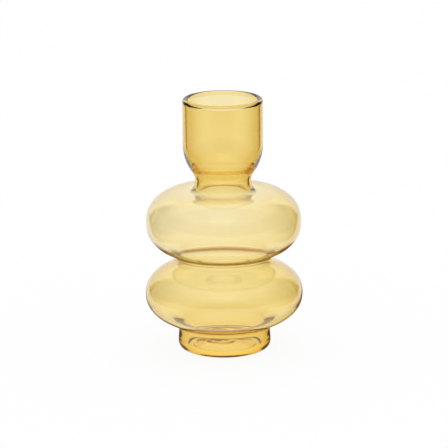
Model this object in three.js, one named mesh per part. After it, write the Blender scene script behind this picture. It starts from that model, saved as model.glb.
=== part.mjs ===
// An amber glass vase: a round-bottomed cup over two flattened bubbles on a short foot.
// Millimetres, +Z up, with the origin at the centre of the face that the vase stands on.
// Its sections are hot glass, fused end to end, and each is a solid of revolution about Z.

import * as THREE from "three";

// Base and foot
const FOOT_RADIUS = 35.2;
const HEEL_RADIUS = 5.7; // the rounded lower edge
const STANDING_WIDTH = 5.5; // the flat ring that the vase stands on
const PUNT_DEPTH = 2.6; // the middle of the bottom is pushed up this far, over and under alike
const FLOOR_THICKNESS = 3; // glass in the bottom
const FLOOR_FILLET = 5; // where the inside floor turns up into the foot's wall
const FOOT_RING_HEIGHT = 8; // from the base up to the groove under the lower bubble

// A groove has a radius at its narrowest, or a depth from the foot, a flare, which is how far out its
// curve runs before it is bubble, and a rise, which is how far up or down the corner lies that its
// curve rounds off.

// Groove between the foot and the lower bubble
const CREASE_DEPTH = 0.6;
const CREASE_FLARE = 5.4;
const CREASE_RISE = 3;

// Lower bubble
const LOWER_RADIUS = 60;
const LOWER_HALF_HEIGHT = 28.5;
const LOWER_POWER = 2.24; // 2 is an ellipse, and more is squarer

// Groove between the bubbles
const WAIST_RADIUS = 36;
const WAIST_FLARE = 6;
const WAIST_RISE = 2.75;

// Upper bubble
const UPPER_RADIUS = 59;
const UPPER_HALF_HEIGHT = 29.6;
const UPPER_POWER = 2.44;

// Neck between the upper bubble and the cup
const NECK_RADIUS = 21.3;
const NECK_FLARE = 6.7;
const NECK_RISE = 4;
const NECK_FILLET = 9.4; // the hollow curve under the cup

// Cup and rim
const CUP_RADIUS = 30.4;
const CUP_ROUND = 33.8; // the curve of the cup's rounded bottom
const CUP_STRAIGHT = 31.1; // the upright wall, up to the rim
const RIM_HEIGHT = 5;
const RIM_THICKNESS = 4.1; // the fire-polished lip is thicker than the wall

// Glass thickness, square to the wall
const FOOT_WALL = 3.2;
const CREASE_WALL = 3;
const LOWER_WALL = 2.2;
const WAIST_WALL = 2.4;
const UPPER_WALL = 2;
const NECK_WALL = 3.4;
const CUP_WALL = 2.9;

// Facets
const TURN_STEPS = 48;
const HALF_SWELL_STEPS = 6;
const CURVE_STEPS = 3;
const ARC_STEPS = 5;
const OUTLINE_STEPS = 4;

const lower = {
  radius: LOWER_RADIUS,
  halfHeight: LOWER_HALF_HEIGHT,
  power: LOWER_POWER,
  wall: LOWER_WALL,
};
const upper = {
  radius: UPPER_RADIUS,
  halfHeight: UPPER_HALF_HEIGHT,
  power: UPPER_POWER,
  wall: UPPER_WALL,
};
const crease = {
  radius: FOOT_RADIUS - CREASE_DEPTH,
  flare: CREASE_FLARE,
  rise: CREASE_RISE,
  wall: CREASE_WALL,
};
const waist = {
  radius: WAIST_RADIUS,
  flare: WAIST_FLARE,
  rise: WAIST_RISE,
  wall: WAIST_WALL,
};
const neck = {
  radius: NECK_RADIUS,
  flare: NECK_FLARE,
  rise: NECK_RISE,
  wall: NECK_WALL,
};

// A station is a point of the outside, its radius and height, with the glass thickness there.
const station = (radius, height, wall) => ({ radius, height, wall });

const mix = (from, to, share) => from + (to - from) * share;
const ease = (share) => share * share * (3 - 2 * share);

// A bubble's outline, as radius and height from its middle, at an angle from its equator
function swellPoint({ radius, halfHeight, power }, angle) {
  const out = Math.cos(angle) ** (2 / power);
  const up = Math.sign(angle) * Math.abs(Math.sin(angle)) ** (2 / power);
  return new THREE.Vector2(radius * out, halfHeight * up);
}

// The angle at which a bubble's outline has the given radius
const swellAngle = ({ radius, power }, at) => Math.acos((at / radius) ** (power / 2));

// How much the outline rises for each millimetre towards the axis, where it has the given radius
function swellSlope({ radius, halfHeight, power }, at) {
  const share = at / radius;
  return (halfHeight / radius) * share ** (power - 1) * (1 - share ** power) ** (1 / power - 1);
}

// The glass thins from a groove's wall to the bubble's own at its equator.
function swellWall(swell, groove, radius) {
  const share = (radius - groove.radius) / (swell.radius - groove.radius);
  return mix(groove.wall, swell.wall, ease(share));
}

// How far the narrowest of a groove lies from the middle of the bubble beside it
function grooveReach(swell, groove) {
  const joint = groove.radius + groove.flare;
  const edge = swellPoint(swell, swellAngle(swell, joint)).y;
  return edge + groove.flare * swellSlope(swell, joint) + groove.rise;
}

// Half of a groove, from its narrowest, where the wall is upright, out to the bubble's edge.
// The side is 1 where the bubble is above the groove and -1 where it is below.
function grooveHalf(swell, groove, height, side) {
  const joint = groove.radius + groove.flare;
  const corner = height + side * groove.rise;
  const edge = corner + side * groove.flare * swellSlope(swell, joint);
  const curve = new THREE.QuadraticBezierCurve(
    new THREE.Vector2(groove.radius, height),
    new THREE.Vector2(groove.radius, corner),
    new THREE.Vector2(joint, edge),
  );
  const points = curve.getPoints(CURVE_STEPS);
  return points.map((p) => station(p.x, p.y, swellWall(swell, groove, p.x)));
}

// Half of a bubble, from its equator to the edge of the groove above it (side 1) or below it (side -1)
function swellHalf(swell, groove, middle, side) {
  const end = side * swellAngle(swell, groove.radius + groove.flare);
  const stations = [];
  for (let i = 0; i <= HALF_SWELL_STEPS; i++) {
    const p = swellPoint(swell, (end * i) / HALF_SWELL_STEPS);
    stations.push(station(p.x, middle + p.y, swellWall(swell, groove, p.x)));
  }
  return stations;
}

// A bubble between the curves of the groove below it and the groove above it
const swellWhole = (swell, below, above, middle) => [
  ...swellHalf(swell, below, middle, -1).reverse(),
  ...swellHalf(swell, above, middle, 1).slice(1),
];

// An arc about a centre, between two angles counted from outwards to upwards
function arcStations(centre, radius, from, to, wallFrom, wallTo) {
  const stations = [];
  for (let i = 0; i <= ARC_STEPS; i++) {
    const share = i / ARC_STEPS;
    const angle = mix(from, to, share);
    const wall = mix(wallFrom, wallTo, ease(share));
    const across = radius * Math.cos(angle);
    const up = radius * Math.sin(angle);
    stations.push(station(centre.x + across, centre.y + up, wall));
  }
  return stations;
}

// Heights above the table, stacked from the foot upwards
const baseHeight = FLOOR_THICKNESS + FLOOR_FILLET;
const creaseHeight = baseHeight + FOOT_RING_HEIGHT;
const lowerMiddle = creaseHeight + grooveReach(lower, crease);
const waistHeight = lowerMiddle + grooveReach(lower, waist);
const upperMiddle = waistHeight + grooveReach(upper, waist);
const neckHeight = upperMiddle + grooveReach(upper, neck);

// The neck's hollow curve meets the cup's rounded bottom where their two circles touch.
const filletCentre = new THREE.Vector2(NECK_RADIUS + NECK_FILLET, neckHeight);
const roundAcross = filletCentre.x - (CUP_RADIUS - CUP_ROUND);
const roundUp = Math.sqrt((CUP_ROUND + NECK_FILLET) ** 2 - roundAcross ** 2);
const roundCentre = new THREE.Vector2(CUP_RADIUS - CUP_ROUND, neckHeight + roundUp);
const touchAngle = Math.atan2(roundUp, roundAcross);
const cupTop = roundCentre.y + CUP_STRAIGHT;

// The foot's wall leans in a little, upright at the base and again at the groove.
function footRing() {
  const middle = mix(baseHeight, creaseHeight, 1 / 2);
  const curve = new THREE.CubicBezierCurve(
    new THREE.Vector2(FOOT_RADIUS, baseHeight),
    new THREE.Vector2(FOOT_RADIUS, middle),
    new THREE.Vector2(crease.radius, middle),
    new THREE.Vector2(crease.radius, creaseHeight),
  );
  const wallAt = (i) => mix(FOOT_WALL, CREASE_WALL, ease(i / CURVE_STEPS));
  return curve.getPoints(CURVE_STEPS).map((p, i) => station(p.x, p.y, wallAt(i)));
}

const lowerBubble = () => [
  ...grooveHalf(lower, crease, creaseHeight, 1),
  ...swellWhole(lower, crease, waist, lowerMiddle).slice(1),
];

const waistCollar = () => [
  ...grooveHalf(lower, waist, waistHeight, -1).reverse(),
  ...grooveHalf(upper, waist, waistHeight, 1).slice(1),
];

const upperBubble = () => swellWhole(upper, waist, neck, upperMiddle);

const neckCollar = () => [
  ...grooveHalf(upper, neck, neckHeight, -1).reverse(),
  ...arcStations(
    filletCentre, NECK_FILLET, Math.PI, Math.PI - touchAngle, NECK_WALL, NECK_WALL,
  ).slice(1),
];

const cup = () => [
  ...arcStations(roundCentre, CUP_ROUND, -touchAngle, 0, NECK_WALL, CUP_WALL),
  station(CUP_RADIUS, cupTop, CUP_WALL),
];

// The outside of each wall section, from the foot up to the rim
const wallSections = {
  foot_ring: footRing(),
  lower_bubble: lowerBubble(),
  waist_collar: waistCollar(),
  upper_bubble: upperBubble(),
  neck_collar: neckCollar(),
  cup: cup(),
};

// The inside of the wall, square to the outside at each station, and level at its two ends
function insideOf(stations) {
  const last = stations.length - 1;
  return stations.map(({ radius, height, wall }, i) => {
    const along = new THREE.Vector2(0, 1);
    if (i > 0 && i < last) {
      const before = stations[i - 1];
      const after = stations[i + 1];
      along.set(after.radius - before.radius, after.height - before.height).normalize();
    }
    return new THREE.Vector2(radius - wall * along.y, height + wall * along.x);
  });
}

// The inside is worked out along the whole wall, so that two sections share the face at which they
// are fused. Neighbours share their end station too.
const wholeWall = Object.values(wallSections).flatMap((stations, i) =>
  i === 0 ? stations : stations.slice(1),
);
const wholeInside = insideOf(wholeWall);

// Amber glass, deeper in colour where it is thicker
const glass = (color, opacity) =>
  new THREE.MeshStandardMaterial({
    color,
    roughness: 0.04,
    metalness: 0,
    transparent: true,
    opacity,
  });

const looks = {
  base_disc: glass(0xdfa63c, 0.75),
  foot_ring: glass(0xe6b64f, 0.65),
  lower_bubble: glass(0xebd58b, 0.5),
  waist_collar: glass(0xe3b457, 0.6),
  upper_bubble: glass(0xf0dfa0, 0.5),
  neck_collar: glass(0xdca845, 0.65),
  cup: glass(0xebd17d, 0.55),
  rim_bead: glass(0xcfa850, 0.65),
};

// A closed outline of radius and height, turned about Z and standing on its own seat
function turned(name, outline, seat) {
  const points = outline.map((p) => new THREE.Vector2(p.x, p.y - seat));
  const geometry = new THREE.LatheGeometry(points, TURN_STEPS).rotateX(Math.PI / 2);
  const mesh = new THREE.Mesh(geometry, looks[name]);
  mesh.name = name;
  mesh.position.z = seat;
  return mesh;
}

// A wall section between its outside and its inside, closed where it is fused to its neighbours
function wallSection(name, first, count) {
  const outside = wholeWall.slice(first, first + count);
  const inside = wholeInside.slice(first, first + count);
  const outline = [
    ...outside.map((s) => new THREE.Vector2(s.radius, s.height)),
    ...inside.reverse(),
  ];
  return turned(name, [...outline, outline[0]], outside[0].height);
}

// An arc that pushes the bottom up in the middle, over the given radius: its own radius and half its angle
function puntArc(across) {
  const radius = (across ** 2 + PUNT_DEPTH ** 2) / (2 * PUNT_DEPTH);
  return { radius, angle: Math.asin(across / radius) };
}

// The base: a bottom with a rounded heel, standing on a flat ring and pushed up inside that ring
function baseDisc() {
  const upright = Math.PI / 2;
  const inner = FOOT_RADIUS - FOOT_WALL;
  const heelStart = FOOT_RADIUS - HEEL_RADIUS;
  const under = puntArc(heelStart - STANDING_WIDTH);
  const over = puntArc(inner - FLOOR_FILLET);
  const overCentre = FLOOR_THICKNESS + PUNT_DEPTH - over.radius;
  const outline = new THREE.Path();
  outline.moveTo(0, PUNT_DEPTH);
  outline.absarc(0, PUNT_DEPTH - under.radius, under.radius, upright, upright - under.angle, true);
  outline.lineTo(heelStart, 0);
  outline.absarc(heelStart, HEEL_RADIUS, HEEL_RADIUS, -upright, 0, false);
  outline.lineTo(FOOT_RADIUS, baseHeight);
  outline.lineTo(inner, baseHeight);
  outline.quadraticCurveTo(inner, FLOOR_THICKNESS, inner - FLOOR_FILLET, FLOOR_THICKNESS);
  outline.absarc(0, overCentre, over.radius, upright - over.angle, upright, false);
  return turned("base_disc", outline.getPoints(OUTLINE_STEPS), 0);
}

// The rim: the lip's round edge, thickened inwards over the cup's wall
function rimBead() {
  const round = RIM_THICKNESS / 2;
  const inner = CUP_RADIUS - CUP_WALL;
  const lip = CUP_RADIUS - RIM_THICKNESS;
  const shoulder = cupTop + RIM_HEIGHT - round;
  const middle = mix(cupTop, shoulder, 1 / 2);
  const outline = new THREE.Path();
  outline.moveTo(inner, cupTop);
  outline.lineTo(CUP_RADIUS, cupTop);
  outline.lineTo(CUP_RADIUS, shoulder);
  outline.absarc(CUP_RADIUS - round, shoulder, round, 0, Math.PI, false);
  outline.bezierCurveTo(lip, middle, inner, middle, inner, cupTop);
  return turned("rim_bead", outline.getPoints(OUTLINE_STEPS), cupTop);
}

const vase = new THREE.Group();
vase.name = "vase";
vase.add(baseDisc());
let first = 0;
for (const [name, stations] of Object.entries(wallSections)) {
  vase.add(wallSection(name, first, stations.length));
  first += stations.length - 1;
}
vase.add(rimBead());

export default vase;
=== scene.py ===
# An amber glass vase: one wall of clear glass from the base to the lip, on a white studio floor.

import math

import bpy
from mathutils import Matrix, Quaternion, Vector


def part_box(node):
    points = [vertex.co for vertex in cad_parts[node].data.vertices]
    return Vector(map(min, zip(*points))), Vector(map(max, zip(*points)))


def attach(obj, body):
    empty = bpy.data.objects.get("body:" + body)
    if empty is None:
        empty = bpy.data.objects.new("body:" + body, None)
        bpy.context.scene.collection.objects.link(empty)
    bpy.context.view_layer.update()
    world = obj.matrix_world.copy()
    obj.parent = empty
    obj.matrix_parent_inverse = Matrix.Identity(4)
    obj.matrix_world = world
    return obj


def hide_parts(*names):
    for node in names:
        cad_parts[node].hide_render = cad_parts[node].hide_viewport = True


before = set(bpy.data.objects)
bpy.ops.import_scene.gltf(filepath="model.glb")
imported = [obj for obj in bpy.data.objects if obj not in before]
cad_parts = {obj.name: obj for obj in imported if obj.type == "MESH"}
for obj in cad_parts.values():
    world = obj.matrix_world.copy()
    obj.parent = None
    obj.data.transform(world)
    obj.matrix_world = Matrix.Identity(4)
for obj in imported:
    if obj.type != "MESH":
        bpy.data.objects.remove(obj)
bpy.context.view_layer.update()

MM = 0.001

# Sizes that the construction gives
FOOT_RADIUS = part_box("base_disc")[1].x
BASE_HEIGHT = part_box("base_disc")[1].z
CREASE_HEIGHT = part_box("lower_bubble")[0].z
LOWER_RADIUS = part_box("lower_bubble")[1].x
UPPER_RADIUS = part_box("upper_bubble")[1].x
CUP_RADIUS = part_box("cup")[1].x
CUP_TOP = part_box("rim_bead")[0].z
RIM_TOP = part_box("rim_bead")[1].z

# Base
HEEL_RADIUS = 5.7 * MM
STANDING_WIDTH = 7.0 * MM
PUNT_DEPTH = 3.4 * MM
FLOOR_THICKNESS = 2.4 * MM
FLOOR_FILLET = 6.0 * MM

# Swirl: rings that the blowing left in the floor's inside, and how far they lie off the axis
RIPPLE_HEIGHT = 0.75 * MM
RIPPLE_LENGTH = 9.0 * MM
RIPPLE_REACH = 20.0 * MM
SWIRL_SHIFT = Vector((-5.0, -2.0, 0.0)) * MM
SWIRL_REACH = 24.0 * MM

# Bubbles: half their height, and how square they are, where 2 is an ellipse
LOWER_HALF_HEIGHT = 28.5 * MM
LOWER_POWER = 2.24
UPPER_HALF_HEIGHT = 29.6 * MM
UPPER_POWER = 2.44

# Grooves: how narrow they are, how far out their curve runs, and the height of its corner
CREASE_DEPTH = 0.6 * MM
CREASE_RADIUS = FOOT_RADIUS - CREASE_DEPTH
CREASE_FLARE = 5.4 * MM
CREASE_RISE = 3.0 * MM
WAIST_RADIUS = 36.0 * MM
WAIST_FLARE = 6.0 * MM
WAIST_RISE = 2.75 * MM

# Neck: its flared foot stands on the upper bubble's top, which is flattened round it
NECK_RADIUS = 21.3 * MM
NECK_RISE = 10.35 * MM
NECK_FILLET = 9.4 * MM
FLAT_RADIUS = 44.0 * MM
FLAT_SHOULDER = 4.5 * MM
FLAT_HANDLE = Vector((6.0, 0.3)) * MM
NECK_FOOT_RADIUS = 26.5 * MM
NECK_FOOT_LIFT = 1.8 * MM
NECK_FLARE = Vector((-4.0, 0.6)) * MM
NECK_STRAIGHT = 6.5 * MM

# Cup and lip
CUP_ROUND = 33.8 * MM
RIM_THICKNESS = 4.1 * MM
LIP_HEIGHT = 3.9 * MM

# Glass thickness, and the share of a bubble's width over which it thins to the bubble's own
FOOT_WALL = 3.9 * MM
CREASE_WALL = 3.4 * MM
LOWER_WALL = 2.1 * MM
WAIST_WALL = 2.2 * MM
UPPER_WALL = 1.5 * MM
FLAT_WALL = 1.5 * MM
NECK_WALL = 3.0 * MM
THROAT_WALL = 3.8 * MM
CUP_WALL = 2.7 * MM
THINNING = 0.35

# Hollows of the bubbles: how far off the axis they lie, so that the glass is thicker on one side
UPPER_SHIFT = Vector((-0.3, 0.0, 0.0)) * MM
LOWER_SHIFT = Vector((-0.2, 0.0, 0.0)) * MM
HOLLOW_REACH = 60.0 * MM

# Fineness of the mesh, which is finer under the lip
OUTLINE_STEP = 0.8 * MM
LIP_FINENESS = 2
TURN_STEPS = 96
SOFTENING_PASSES = 5
MERGE_DISTANCE = 0.002 * MM
SHARP_ANGLE = math.radians(40)

# Glass: its colour after a way through it, and the faint smears and waves of its surface
GLASS_IOR = 1.5
GLASS_ABSORPTION = (0.945, 0.782, 0.1)
GLASS_DENSITY = 300.0
GLASS_ROUGHNESS = (0.0, 0.02)
SMEAR_SCALE = 90.0
SMEAR_EDGES = (0.3, 0.7)
NOISE_DETAIL = 1
WAVE_SCALE = 26.0
WAVE_HEIGHT = 0.06 * MM

# Floor, in metres
FLOOR_RADIUS = 5.0
FLOOR_SIDES = 64
FLOOR_GAP = 0.2 * MM
FLOOR_WHITE = 0.95
FLOOR_GLOW = 0.93

# Painted light that the glass mirrors on the floor, in metres: a white pool, brighter in front and wider
# behind the vase, with painted shade beyond its sides and far in front
PAINTED_LIGHT_HALF_WIDTH = 0.19
PAINTED_LIGHT_SPREAD = 0.6
PAINTED_LIGHT_TURN = 0.07
PAINTED_LIGHT_SOFTNESS = 0.05
PAINTED_LIGHT_FRONT = -0.68
PAINTED_LIGHT_FADE = 0.2
PAINTED_LIGHT_WHITE = 1.25
FAR_GREY = 0.4
LEFT_GREY = 0.2
RIGHT_GREY = 0.1
FRONT_WHITE = 0.95

# Painted oval shadow on the floor's painted light, in metres, with a painted lighter patch round the foot
SHADOW_CENTRE = (0.01, 0.12, 0)
SHADOW_REACH = (0.11, 0.15)
SHADOW_EDGE = (0.8, 1.2)
SHADOW_GREY = 0.12
GLOW_CENTRE = (0, 0, 0)
GLOW_REACH = (0.12, 0.08)
GLOW_EDGE = (0.85, 1.15)
DEEP_GLOW = 0.5

# Room over the floor: a white backdrop in the dark, and a bright ceiling with a brighter strip
ROOM_GREY = 0.05
CEILING_WHITE = 0.9
STRIP_WHITE = 0.3

# Edges of the studio's lights, each as the angle where it is still dark and the one where it is full
FRONT_SIDES = (math.radians(117), math.radians(26))
BACKDROP_SIDES = (math.radians(42), math.radians(32))
STRIP_SIDES = (math.radians(20), math.radians(8))
CEILING_EDGES = (math.radians(30), math.radians(60))

# Light that the glass has mirrored or let through: counts are whole, so each limit lies half a step lower
ONCE = 0.5
TWICE = 1.5
THREE_TIMES = 2.5
TRAPPED_SHARE = 0.3
SHADE_POWERS = {"Red": 0.7, "Green": 0.95, "Blue": 1.4}
BOUNCES = 40

# Camera, with the distance in metres, the lens in millimetres and the frame's shift in pixels
CAMERA_DISTANCE = 2.2128
CAMERA_ELEVATION = math.radians(14.53)
CAMERA_ROLL = math.radians(-0.526)
CAMERA_LENS = 233.7
AIM_HEIGHT = 97.1 * MM
FRAME_SHIFT = 0.41
PICTURE_WIDTH = 448


def mix(start, end, share):
    return start + (end - start) * share


def ease(share):
    """The same share from 0 to 1, with a soft start and end."""
    return share * share * (3 - 2 * share)


class Bubble:
    """A flattened round section of the wall, widest at its middle."""

    def __init__(self, radius, half_height, power, wall):
        self.radius = radius
        self.half_height = half_height
        self.power = power
        self.wall = wall

    def point(self, angle):
        """Radius, and height from the middle, at an angle from the equator."""
        out = math.cos(angle) ** (2 / self.power)
        up = math.copysign(abs(math.sin(angle)) ** (2 / self.power), angle)
        return self.radius * out, self.half_height * up

    def angle_at(self, radius):
        return math.acos((radius / self.radius) ** (self.power / 2))

    def slope_at(self, radius):
        """How much the outline rises for each metre towards the axis."""
        share = radius / self.radius
        steepness = share ** (self.power - 1) * (1 - share ** self.power) ** (1 / self.power - 1)
        return self.half_height / self.radius * steepness

    def wall_at(self, radius, edge, edge_wall):
        """The glass thins from its edge towards the bubble's own wall, which it has over its middle."""
        share = (radius - edge) / (self.radius - edge) / THINNING
        return mix(edge_wall, self.wall, ease(min(max(share, 0), 1)))


class Groove:
    """A waist in the wall, from its narrowest to where its curve joins a bubble."""

    def __init__(self, radius, flare, rise, wall):
        self.radius = radius
        self.flare = flare
        self.rise = rise
        self.wall = wall
        self.joint = radius + flare

    def reach(self, bubble):
        """Height from the groove's narrowest to the middle of the bubble beside it."""
        edge = bubble.point(bubble.angle_at(self.joint))[1]
        return edge + self.flare * bubble.slope_at(self.joint) + self.rise


lower = Bubble(LOWER_RADIUS, LOWER_HALF_HEIGHT, LOWER_POWER, LOWER_WALL)
upper = Bubble(UPPER_RADIUS, UPPER_HALF_HEIGHT, UPPER_POWER, UPPER_WALL)
crease = Groove(CREASE_RADIUS, CREASE_FLARE, CREASE_RISE, CREASE_WALL)
waist = Groove(WAIST_RADIUS, WAIST_FLARE, WAIST_RISE, WAIST_WALL)

# Heights, stacked from the groove over the foot
lower_middle = CREASE_HEIGHT + crease.reach(lower)
waist_height = lower_middle + waist.reach(lower)
upper_middle = waist_height + waist.reach(upper)
flat_height = upper_middle + upper.point(upper.angle_at(FLAT_RADIUS))[1]
neck_height = flat_height + NECK_RISE
neck_foot = Vector((NECK_FOOT_RADIUS, flat_height + NECK_FOOT_LIFT))

# The neck's hollow curve meets the cup's rounded bottom where their two circles touch.
fillet_centre = Vector((NECK_RADIUS + NECK_FILLET, neck_height))
round_across = fillet_centre.x - (CUP_RADIUS - CUP_ROUND)
round_up = math.sqrt((CUP_ROUND + NECK_FILLET) ** 2 - round_across ** 2)
round_centre = Vector((CUP_RADIUS - CUP_ROUND, neck_height + round_up))
touch_angle = math.atan2(round_up, round_across)


def steps_for(length):
    return max(2, math.ceil(length / OUTLINE_STEP))


def groove_half(bubble, groove, height, side):
    """From a groove's narrowest to the bubble above it (side 1) or below it (side -1)."""
    corner = height + side * groove.rise
    edge = corner + side * groove.flare * bubble.slope_at(groove.joint)
    count = steps_for(math.hypot(groove.flare, edge - height))
    stations = []
    for i in range(count + 1):
        t = i / count
        radius = mix(groove.radius, groove.joint, t * t)
        lift = mix(mix(height, corner, t), mix(corner, edge, t), t)
        stations.append((radius, lift, bubble.wall_at(radius, groove.radius, groove.wall)))
    return stations


def bubble_half(bubble, middle, side, end, edge, edge_wall):
    """From a bubble's equator up (side 1) or down (side -1) to an end radius, thicker towards an edge."""
    last = side * bubble.angle_at(end)
    count = steps_for(bubble.radius - end + bubble.half_height)
    stations = []
    for i in range(count + 1):
        radius, up = bubble.point(last * i / count)
        stations.append((radius, middle + up, bubble.wall_at(radius, edge, edge_wall)))
    return stations


def bend(points, wall_start, wall_end):
    """A smooth curve from the first of four points to the last, drawn towards the two between them."""
    count = steps_for(sum((b - a).length for a, b in zip(points, points[1:])))
    stations = []
    for i in range(count + 1):
        t = i / count
        s = 1 - t
        weights = (s ** 3, 3 * s * s * t, 3 * s * t * t, t ** 3)
        spot = sum((point * weight for point, weight in zip(points, weights)), Vector((0, 0)))
        stations.append((spot.x, spot.y, mix(wall_start, wall_end, ease(t))))
    return stations


def flat_top():
    """From the upper bubble's shoulder over its flattened top to the foot of the neck."""
    edge = Vector((FLAT_RADIUS, flat_height))
    rise = Vector((-1, upper.slope_at(FLAT_RADIUS))) * FLAT_SHOULDER
    return bend((edge, edge + rise, neck_foot + FLAT_HANDLE, neck_foot), UPPER_WALL, FLAT_WALL)


def neck_flare():
    """From the foot of the neck up to its narrowest."""
    top = Vector((NECK_RADIUS, neck_height))
    below = top - Vector((0, NECK_STRAIGHT))
    return bend((neck_foot, neck_foot + NECK_FLARE, below, top), FLAT_WALL, NECK_WALL)


def arc(centre, radius, start, end, wall_start, wall_end):
    """An arc between two angles counted from outwards to upwards, whose wall changes along it."""
    count = steps_for(radius * abs(end - start))
    stations = []
    for i in range(count + 1):
        share = i / count
        angle = mix(start, end, share)
        across = centre.x + radius * math.cos(angle)
        up = centre.y + radius * math.sin(angle)
        stations.append((across, up, mix(wall_start, wall_end, ease(share))))
    return stations


def foot_outside():
    count = steps_for(CREASE_HEIGHT - BASE_HEIGHT)
    stations = []
    for i in range(count + 1):
        share = i / count
        radius = mix(FOOT_RADIUS, CREASE_RADIUS, ease(share))
        height = mix(BASE_HEIGHT, CREASE_HEIGHT, share)
        stations.append((radius, height, mix(FOOT_WALL, CREASE_WALL, ease(share))))
    return stations


def lower_bubble_outside():
    return joined(
        groove_half(lower, crease, CREASE_HEIGHT, 1),
        bubble_half(lower, lower_middle, -1, crease.joint, crease.radius, crease.wall)[::-1],
        bubble_half(lower, lower_middle, 1, waist.joint, waist.radius, waist.wall),
    )


def waist_outside():
    return joined(
        groove_half(lower, waist, waist_height, -1)[::-1],
        groove_half(upper, waist, waist_height, 1),
    )


def upper_bubble_outside():
    return joined(
        bubble_half(upper, upper_middle, -1, waist.joint, waist.radius, waist.wall)[::-1],
        bubble_half(upper, upper_middle, 1, FLAT_RADIUS, FLAT_RADIUS, UPPER_WALL),
    )


def neck_outside():
    return joined(
        flat_top(),
        neck_flare(),
        arc(fillet_centre, NECK_FILLET, math.pi, math.pi - touch_angle, NECK_WALL, THROAT_WALL),
    )


def cup_outside():
    count = steps_for(CUP_TOP - round_centre.y)
    straight = [(CUP_RADIUS, mix(round_centre.y, CUP_TOP, i / count), CUP_WALL) for i in range(count + 1)]
    bottom = arc(round_centre, CUP_ROUND, -touch_angle, 0, THROAT_WALL, CUP_WALL)
    return joined(bottom, straight)


def joined(*runs):
    """Runs of stations end to end, with the station that two of them share kept once."""
    stations = list(runs[0])
    for run in runs[1:]:
        stations += run[1:]
    return stations


def softened(stations):
    """The same stations with the small jumps of curvature between arcs melted out."""
    for _ in range(SOFTENING_PASSES):
        middle = [
            tuple((a + 2 * b + c) / 4 for a, b, c in zip(*three))
            for three in zip(stations, stations[1:], stations[2:])
        ]
        stations = [stations[0], *middle, stations[-1]]
    return stations


def inside_of(stations):
    """The inside of the wall, square to its outside, and level at its two ends."""
    points = []
    for i, (radius, height, wall) in enumerate(stations):
        along = Vector((0, 1))
        if 0 < i < len(stations) - 1:
            before = Vector(stations[i - 1][:2])
            after = Vector(stations[i + 1][:2])
            along = (after - before).normalized()
        points.append(Vector((radius - wall * along.y, height + wall * along.x)))
    return points


def draw(name, points):
    """A new object in edit mode that holds an outline of radius and height, drawn point by point."""
    bpy.ops.object.select_all(action="DESELECT")
    bpy.ops.mesh.primitive_plane_add(size=OUTLINE_STEP, location=(0, 0, 0))
    piece = bpy.context.object
    piece.name = name
    bpy.ops.object.mode_set(mode="EDIT")
    bpy.ops.mesh.merge(type="CENTER")
    bpy.ops.transform.translate(value=(points[0].x, 0, points[0].y))
    for before, after in zip(points, points[1:]):
        step = (after.x - before.x, 0, after.y - before.y)
        bpy.ops.mesh.extrude_vertices_move(TRANSFORM_OT_translate={"value": step})
    return piece


def turn(piece):
    """Spins the drawn outline once about the vase's axis into one closed mesh."""
    bpy.ops.mesh.select_all(action="SELECT")
    bpy.ops.mesh.spin(steps=TURN_STEPS, angle=math.tau, center=(0, 0, 0), axis=(0, 0, 1))
    bpy.ops.mesh.select_all(action="SELECT")
    bpy.ops.mesh.remove_doubles(threshold=MERGE_DISTANCE)
    bpy.ops.mesh.normals_make_consistent(inside=False)
    bpy.ops.mesh.select_all(action="DESELECT")
    bpy.ops.object.mode_set(mode="OBJECT")
    bpy.ops.object.shade_smooth_by_angle(angle=SHARP_ANGLE)
    return piece


def underside():
    """From the axis out: the pushed-up bottom, the flat ring it stands on and the rounded heel."""
    heel_start = FOOT_RADIUS - HEEL_RADIUS
    points = dome(heel_start - STANDING_WIDTH, 0)
    count = steps_for(STANDING_WIDTH)
    points += [Vector((heel_start - STANDING_WIDTH * (1 - i / count), 0)) for i in range(1, count)]
    heel = arc(Vector((heel_start, HEEL_RADIUS)), HEEL_RADIUS, -math.pi / 2, 0, 0, 0)
    return points + [Vector(station[:2]) for station in heel]


def inner_floor():
    """From the foot's inside wall round a hollow curve and over the dome to the axis."""
    inner = FOOT_RADIUS - FOOT_WALL
    points = []
    count = steps_for(FLOOR_FILLET + BASE_HEIGHT - FLOOR_THICKNESS)
    for i in range(1, count):
        angle = math.pi / 2 * i / count
        across = inner - FLOOR_FILLET * (1 - math.cos(angle))
        up = mix(BASE_HEIGHT, FLOOR_THICKNESS, math.sin(angle))
        points.append(Vector((across, up)))
    return points + [rippled(point) for point in dome(inner - FLOOR_FILLET, FLOOR_THICKNESS)[::-1]]


def rippled(point):
    """A point of the floor, lifted or sunk by the rings of the swirl."""
    fading = ease(max(1 - point.x / RIPPLE_REACH, 0))
    wave = math.cos(math.tau * point.x / RIPPLE_LENGTH)
    return Vector((point.x, point.y + RIPPLE_HEIGHT * fading * wave))


def drag(piece, chosen, shift, distance):
    """Moves the chosen points of a surface, and the surface round them less and less up to a distance."""
    for vertex in piece.data.vertices:
        vertex.select = chosen(vertex.co)
    bpy.ops.object.mode_set(mode="EDIT")
    bpy.ops.transform.translate(
        value=shift,
        use_proportional_edit=True,
        use_proportional_connected=True,
        proportional_edit_falloff="SMOOTH",
        proportional_size=distance,
    )
    bpy.ops.mesh.select_all(action="DESELECT")
    bpy.ops.object.mode_set(mode="OBJECT")


def middle_of_floor(place):
    """Whether a point is the one on the axis on the floor's inside."""
    return place.xy.length < MERGE_DISTANCE and place.z > FLOOR_THICKNESS


def widest_inside(bubble, middle):
    """A test of whether a point is on the widest ring of a bubble's hollow."""
    def chosen(place):
        beside_middle = abs(place.z - middle) < OUTLINE_STEP
        return beside_middle and place.xy.length < bubble.radius - bubble.wall / 2
    return chosen


def dome(across, height):
    """From the axis outwards and down over a shallow dome of the punt's depth."""
    count = steps_for(across)
    points = []
    for i in range(count + 1):
        share = i / count
        points.append(Vector((across * share, height + PUNT_DEPTH * (1 - share * share))))
    return points


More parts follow.
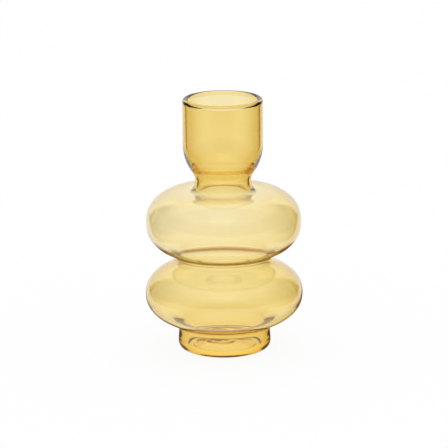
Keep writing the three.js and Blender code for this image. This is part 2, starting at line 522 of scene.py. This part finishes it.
def lip():
    """The round edge of the mouth, thickened inwards over the cup's wall."""
    round_radius = RIM_THICKNESS / 2
    shoulder = RIM_TOP - round_radius
    start = RIM_TOP - LIP_HEIGHT
    inner = CUP_RADIUS - CUP_WALL
    edge = CUP_RADIUS - RIM_THICKNESS
    count = steps_for(shoulder - CUP_TOP)
    points = [Vector((CUP_RADIUS, mix(CUP_TOP, shoulder, i / count))) for i in range(1, count)]
    centre = Vector((CUP_RADIUS - round_radius, shoulder))
    points += [Vector(station[:2]) for station in arc(centre, round_radius, 0, math.pi, 0, 0)]
    count = steps_for(LIP_FINENESS * (shoulder - start))
    for i in range(1, count + 1):
        share = i / count
        points.append(Vector((mix(edge, inner, ease(share)), mix(shoulder, start, share))))
    count = steps_for(start - CUP_TOP)
    points += [Vector((inner, mix(start, CUP_TOP, i / count))) for i in range(1, count)]
    return points


def glass_outline():
    """Half the glass cut through its axis: under the base, up the outside, over the lip and down inside."""
    outside = softened(joined(
        foot_outside(),
        lower_bubble_outside(),
        waist_outside(),
        upper_bubble_outside(),
        neck_outside(),
        cup_outside(),
    ))
    outer = [Vector(station[:2]) for station in outside]
    return [*underside(), *outer, *lip(), *inside_of(outside)[::-1], *inner_floor()]


def noise(tree, scale):
    """Soft noise through the object, with a scale in waves to the metre."""
    node = tree.nodes.new("ShaderNodeTexNoise")
    node.inputs["Scale"].default_value = scale
    node.inputs["Detail"].default_value = NOISE_DETAIL
    place = tree.nodes.new("ShaderNodeTexCoord").outputs["Object"]
    tree.links.new(place, node.inputs["Vector"])
    return node.outputs["Fac"]


def amber_glass_material():
    """Faintly wavy clear glass, amber from the light that it takes up along the way through it."""
    material = bpy.data.materials.new("amber_glass")
    material.use_nodes = True
    tree = material.node_tree
    surface = tree.nodes["Principled BSDF"]
    surface.inputs["Base Color"].default_value = (1, 1, 1, 1)
    surface.inputs["IOR"].default_value = GLASS_IOR
    surface.inputs["Transmission Weight"].default_value = 1
    smears = smooth_step(tree, noise(tree, SMEAR_SCALE), *SMEAR_EDGES, *GLASS_ROUGHNESS)
    tree.links.new(smears, surface.inputs["Roughness"])
    waves = tree.nodes.new("ShaderNodeBump")
    waves.inputs["Distance"].default_value = WAVE_HEIGHT
    tree.links.new(noise(tree, WAVE_SCALE), waves.inputs["Height"])
    tree.links.new(waves.outputs["Normal"], surface.inputs["Normal"])
    amber = tree.nodes.new("ShaderNodeVolumeAbsorption")
    amber.inputs["Color"].default_value = (*GLASS_ABSORPTION, 1)
    amber.inputs["Density"].default_value = GLASS_DENSITY
    tree.links.new(amber.outputs["Volume"], tree.nodes["Material Output"].inputs["Volume"])
    return material


def math_node(tree, operation, *values):
    """A Math node whose inputs are sockets or plain numbers."""
    node = tree.nodes.new("ShaderNodeMath")
    node.operation = operation
    for socket, value in zip(node.inputs, values):
        if isinstance(value, bpy.types.NodeSocket):
            tree.links.new(value, socket)
        else:
            socket.default_value = value
    return node.outputs["Value"]


def smooth_step(tree, value, start, end, low, high):
    """A Map Range node that eases from low to high as the value goes from start to end."""
    node = tree.nodes.new("ShaderNodeMapRange")
    node.interpolation_type = "SMOOTHSTEP"
    tree.links.new(value, node.inputs["Value"])
    for name, number in (("From Min", start), ("From Max", end), ("To Min", low), ("To Max", high)):
        if isinstance(number, bpy.types.NodeSocket):
            tree.links.new(number, node.inputs[name])
        else:
            node.inputs[name].default_value = number
    return node.outputs["Result"]


def vector_node(tree, operation, vector, other=(0, 0, 0)):
    """A Vector Math node whose first input is a socket and whose second is a plain vector."""
    node = tree.nodes.new("ShaderNodeVectorMath")
    node.operation = operation
    node.inputs[1].default_value = other
    tree.links.new(vector, node.inputs[0])
    return node


def parts_of(tree, vector):
    """X, Y and Z of a vector, as sockets."""
    node = tree.nodes.new("ShaderNodeSeparateXYZ")
    tree.links.new(vector, node.inputs["Vector"])
    return node.outputs["X"], node.outputs["Y"], node.outputs["Z"]


def heading(tree, vector):
    """X and Y of a vector's level direction, as sockets."""
    flat = vector_node(tree, "MULTIPLY", vector, (1, 1, 0))
    unit = vector_node(tree, "NORMALIZE", flat.outputs["Vector"])
    return parts_of(tree, unit.outputs["Vector"])[:2]


def reach(tree, place, centre, half_axes):
    """How far a place on the floor is from the middle of an oval patch, where 1 is the patch's edge."""
    offset = vector_node(tree, "SUBTRACT", place, centre)
    share = vector_node(tree, "DIVIDE", offset.outputs["Vector"], (*half_axes, 1))
    return vector_node(tree, "LENGTH", share.outputs["Vector"]).outputs["Value"]


def falling_light(tree, across, along):
    """The front's light, falling off round both sides to the level of the dark corners behind."""
    corners = smooth_step(tree, across, -1, 1, LEFT_GREY, RIGHT_GREY)
    forward = math_node(tree, "MULTIPLY", along, -1)
    dark, full = FRONT_SIDES
    return smooth_step(tree, forward, math.cos(dark), math.cos(full), corners, FRONT_WHITE)


def room(tree, direction):
    """What the glass shows above the floor: a white backdrop in a dark room, under a bright ceiling."""
    along = heading(tree, direction)[1]
    dark, full = BACKDROP_SIDES
    walls = smooth_step(tree, along, math.cos(dark), math.cos(full), ROOM_GREY, 1)
    x, _, z = parts_of(tree, direction)
    dark, full = STRIP_SIDES
    aside = math_node(tree, "ABSOLUTE", x)
    strip = smooth_step(tree, aside, math.sin(full), math.sin(dark), STRIP_WHITE, 0)
    ceiling = math_node(tree, "ADD", strip, CEILING_WHITE)
    dark, full = CEILING_EDGES
    return smooth_step(tree, z, math.sin(dark), math.sin(full), walls, ceiling)


def painted_floor_light(tree, place):
    """What the glass mirrors on the floor: a painted pool of light that widens behind the vase and ends in
    front, with painted shade round it.
    """
    x, y, _ = parts_of(tree, place)
    around = falling_light(tree, *heading(tree, place))
    beyond = math_node(tree, "MAXIMUM", math_node(tree, "SUBTRACT", y, PAINTED_LIGHT_TURN), 0)
    half_width = math_node(tree, "MULTIPLY_ADD", beyond, PAINTED_LIGHT_SPREAD, PAINTED_LIGHT_HALF_WIDTH)
    aside = math_node(tree, "SUBTRACT", math_node(tree, "ABSOLUTE", x), half_width)
    # Painted light, brighter in front, and painted shade beyond its sides and far in front
    soft = PAINTED_LIGHT_SOFTNESS / 2
    lit = smooth_step(tree, y, -soft, soft, PAINTED_LIGHT_WHITE, 1)
    painted_glow = smooth_step(tree, aside, -soft, soft, lit, around)
    near = PAINTED_LIGHT_FRONT + PAINTED_LIGHT_FADE / 2
    painted_glow = smooth_step(tree, y, near - PAINTED_LIGHT_FADE, near, FAR_GREY, painted_glow)
    return math_node(tree, "MULTIPLY", painted_glow, painted_shadow_on_floor(tree, place))


def painted_shadow_on_floor(tree, place):
    """The vase's shadow painted on the floor's glow, lighter near the foot and where it shows deep inside
    the glass.
    """
    edge = reach(tree, place, SHADOW_CENTRE, SHADOW_REACH)
    shadow = smooth_step(tree, edge, *SHADOW_EDGE, SHADOW_GREY, 1)
    glow = smooth_step(tree, reach(tree, place, GLOW_CENTRE, GLOW_REACH), *GLOW_EDGE, 1, 0)
    depth = tree.nodes.new("ShaderNodeLightPath").outputs["Transmission Depth"]
    through_wall = math_node(tree, "GREATER_THAN", depth, ONCE)
    deep_inside = math_node(tree, "GREATER_THAN", depth, THREE_TIMES)
    near_foot = math_node(tree, "MULTIPLY", glow, through_wall)
    inside = math_node(tree, "MULTIPLY", deep_inside, DEEP_GLOW)
    return math_node(tree, "MAXIMUM", shadow, math_node(tree, "MAXIMUM", near_foot, inside))


def dimmed(tree, path, level):
    """The level, less for light that the glass has mirrored more than once."""
    trapped = math_node(tree, "GREATER_THAN", path.outputs["Glossy Depth"], TWICE)
    share = math_node(tree, "MULTIPLY_ADD", trapped, TRAPPED_SHARE - 1, 1)
    return math_node(tree, "MULTIPLY", level, share)


def white_or(tree, white, other):
    """1 where white is 1, and the other level where it is 0."""
    shown = math_node(tree, "MULTIPLY", other, math_node(tree, "SUBTRACT", 1, white))
    return math_node(tree, "ADD", shown, white)


def shade(tree, level):
    """A level as a colour: white at 1, and browner the darker it is, from the amber light round the vase."""
    colour = tree.nodes.new("ShaderNodeCombineColor")
    for name, power in SHADE_POWERS.items():
        tree.links.new(math_node(tree, "POWER", level, power), colour.inputs[name])
    return colour.outputs["Color"]


def studio_world():
    """White for the camera and for the floor's own light, and the room for what the glass shows."""
    world = bpy.data.worlds.new("studio")
    bpy.context.scene.world = world
    world.use_nodes = True
    tree = world.node_tree
    direction = tree.nodes.new("ShaderNodeTexCoord").outputs["Generated"]
    path = tree.nodes.new("ShaderNodeLightPath")
    white = math_node(tree, "MAXIMUM", path.outputs["Is Camera Ray"], path.outputs["Is Diffuse Ray"])
    shown = dimmed(tree, path, room(tree, direction))
    sky = shade(tree, white_or(tree, white, shown))
    tree.links.new(sky, tree.nodes["Background"].inputs["Color"])


def floor_material():
    """White paper that keeps the vase's shadow, and shows painted light and shade where the glass mirrors
    it.
    """
    material = bpy.data.materials.new("white_floor")
    material.use_nodes = True
    tree = material.node_tree
    paper = tree.nodes["Principled BSDF"]
    paper.inputs["Base Color"].default_value = (FLOOR_WHITE, FLOOR_WHITE, FLOOR_WHITE, 1)
    paper.inputs["Roughness"].default_value = 1
    paper.inputs["Specular IOR Level"].default_value = 0
    glow = tree.nodes.new("ShaderNodeEmission")
    place = tree.nodes.new("ShaderNodeTexCoord").outputs["Object"]
    path = tree.nodes.new("ShaderNodeLightPath")
    unmirrored = math_node(tree, "LESS_THAN", path.outputs["Glossy Depth"], ONCE)
    # The glass sees painted light, painted shade and a painted shadow on the floor
    shown = dimmed(tree, path, painted_floor_light(tree, place))
    tree.links.new(shade(tree, white_or(tree, unmirrored, shown)), glow.inputs["Color"])
    camera_share = math_node(tree, "MULTIPLY", path.outputs["Is Camera Ray"], FLOOR_GLOW)
    share = math_node(tree, "MAXIMUM", camera_share, path.outputs["Is Glossy Ray"])
    blend = tree.nodes.new("ShaderNodeMixShader")
    tree.links.new(share, blend.inputs["Fac"])
    tree.links.new(paper.outputs["BSDF"], blend.inputs[1])
    tree.links.new(glow.outputs["Emission"], blend.inputs[2])
    tree.links.new(blend.outputs["Shader"], tree.nodes["Material Output"].inputs["Surface"])
    return material


def studio_floor():
    """A wide round floor, a hair under the vase."""
    bpy.ops.object.select_all(action="DESELECT")
    bpy.ops.mesh.primitive_circle_add(
        vertices=FLOOR_SIDES, radius=FLOOR_RADIUS, fill_type="NGON", location=(0, 0, -FLOOR_GAP)
    )
    floor = bpy.context.object
    floor.name = "floor"
    bpy.ops.object.transform_apply(location=True, rotation=False, scale=False)
    floor.data.materials.append(floor_material())


def photo_camera():
    """The photograph's view: from the front and a little above, through a long lens."""
    aim = Vector((0, 0, AIM_HEIGHT))
    back = Vector((0, -math.cos(CAMERA_ELEVATION), math.sin(CAMERA_ELEVATION)))
    bpy.ops.object.camera_add(location=aim + back * CAMERA_DISTANCE)
    camera = bpy.context.object
    camera.data.lens = CAMERA_LENS
    camera.data.shift_x = FRAME_SHIFT / PICTURE_WIDTH
    camera.rotation_mode = "QUATERNION"
    camera.rotation_quaternion = (-back).to_track_quat("-Z", "Y") @ Quaternion((0, 0, 1), CAMERA_ROLL)
    bpy.context.scene.camera = camera


def render_settings():
    """Enough bounces for light that runs through many walls of glass, and colours shown as they are."""
    cycles = bpy.context.scene.cycles
    cycles.max_bounces = BOUNCES
    cycles.transmission_bounces = BOUNCES
    cycles.glossy_bounces = BOUNCES
    bpy.context.scene.view_settings.view_transform = "Standard"


photo_camera()
render_settings()
studio_world()
studio_floor()
amber_glass = amber_glass_material()

vase = turn(draw("glass_vase", glass_outline()))
drag(vase, middle_of_floor, SWIRL_SHIFT, SWIRL_REACH)
drag(vase, widest_inside(upper, upper_middle), UPPER_SHIFT, HOLLOW_REACH)
drag(vase, widest_inside(lower, lower_middle), LOWER_SHIFT, HOLLOW_REACH)
vase.data.materials.clear()
vase.data.materials.append(amber_glass)
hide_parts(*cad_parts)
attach(vase, "root")
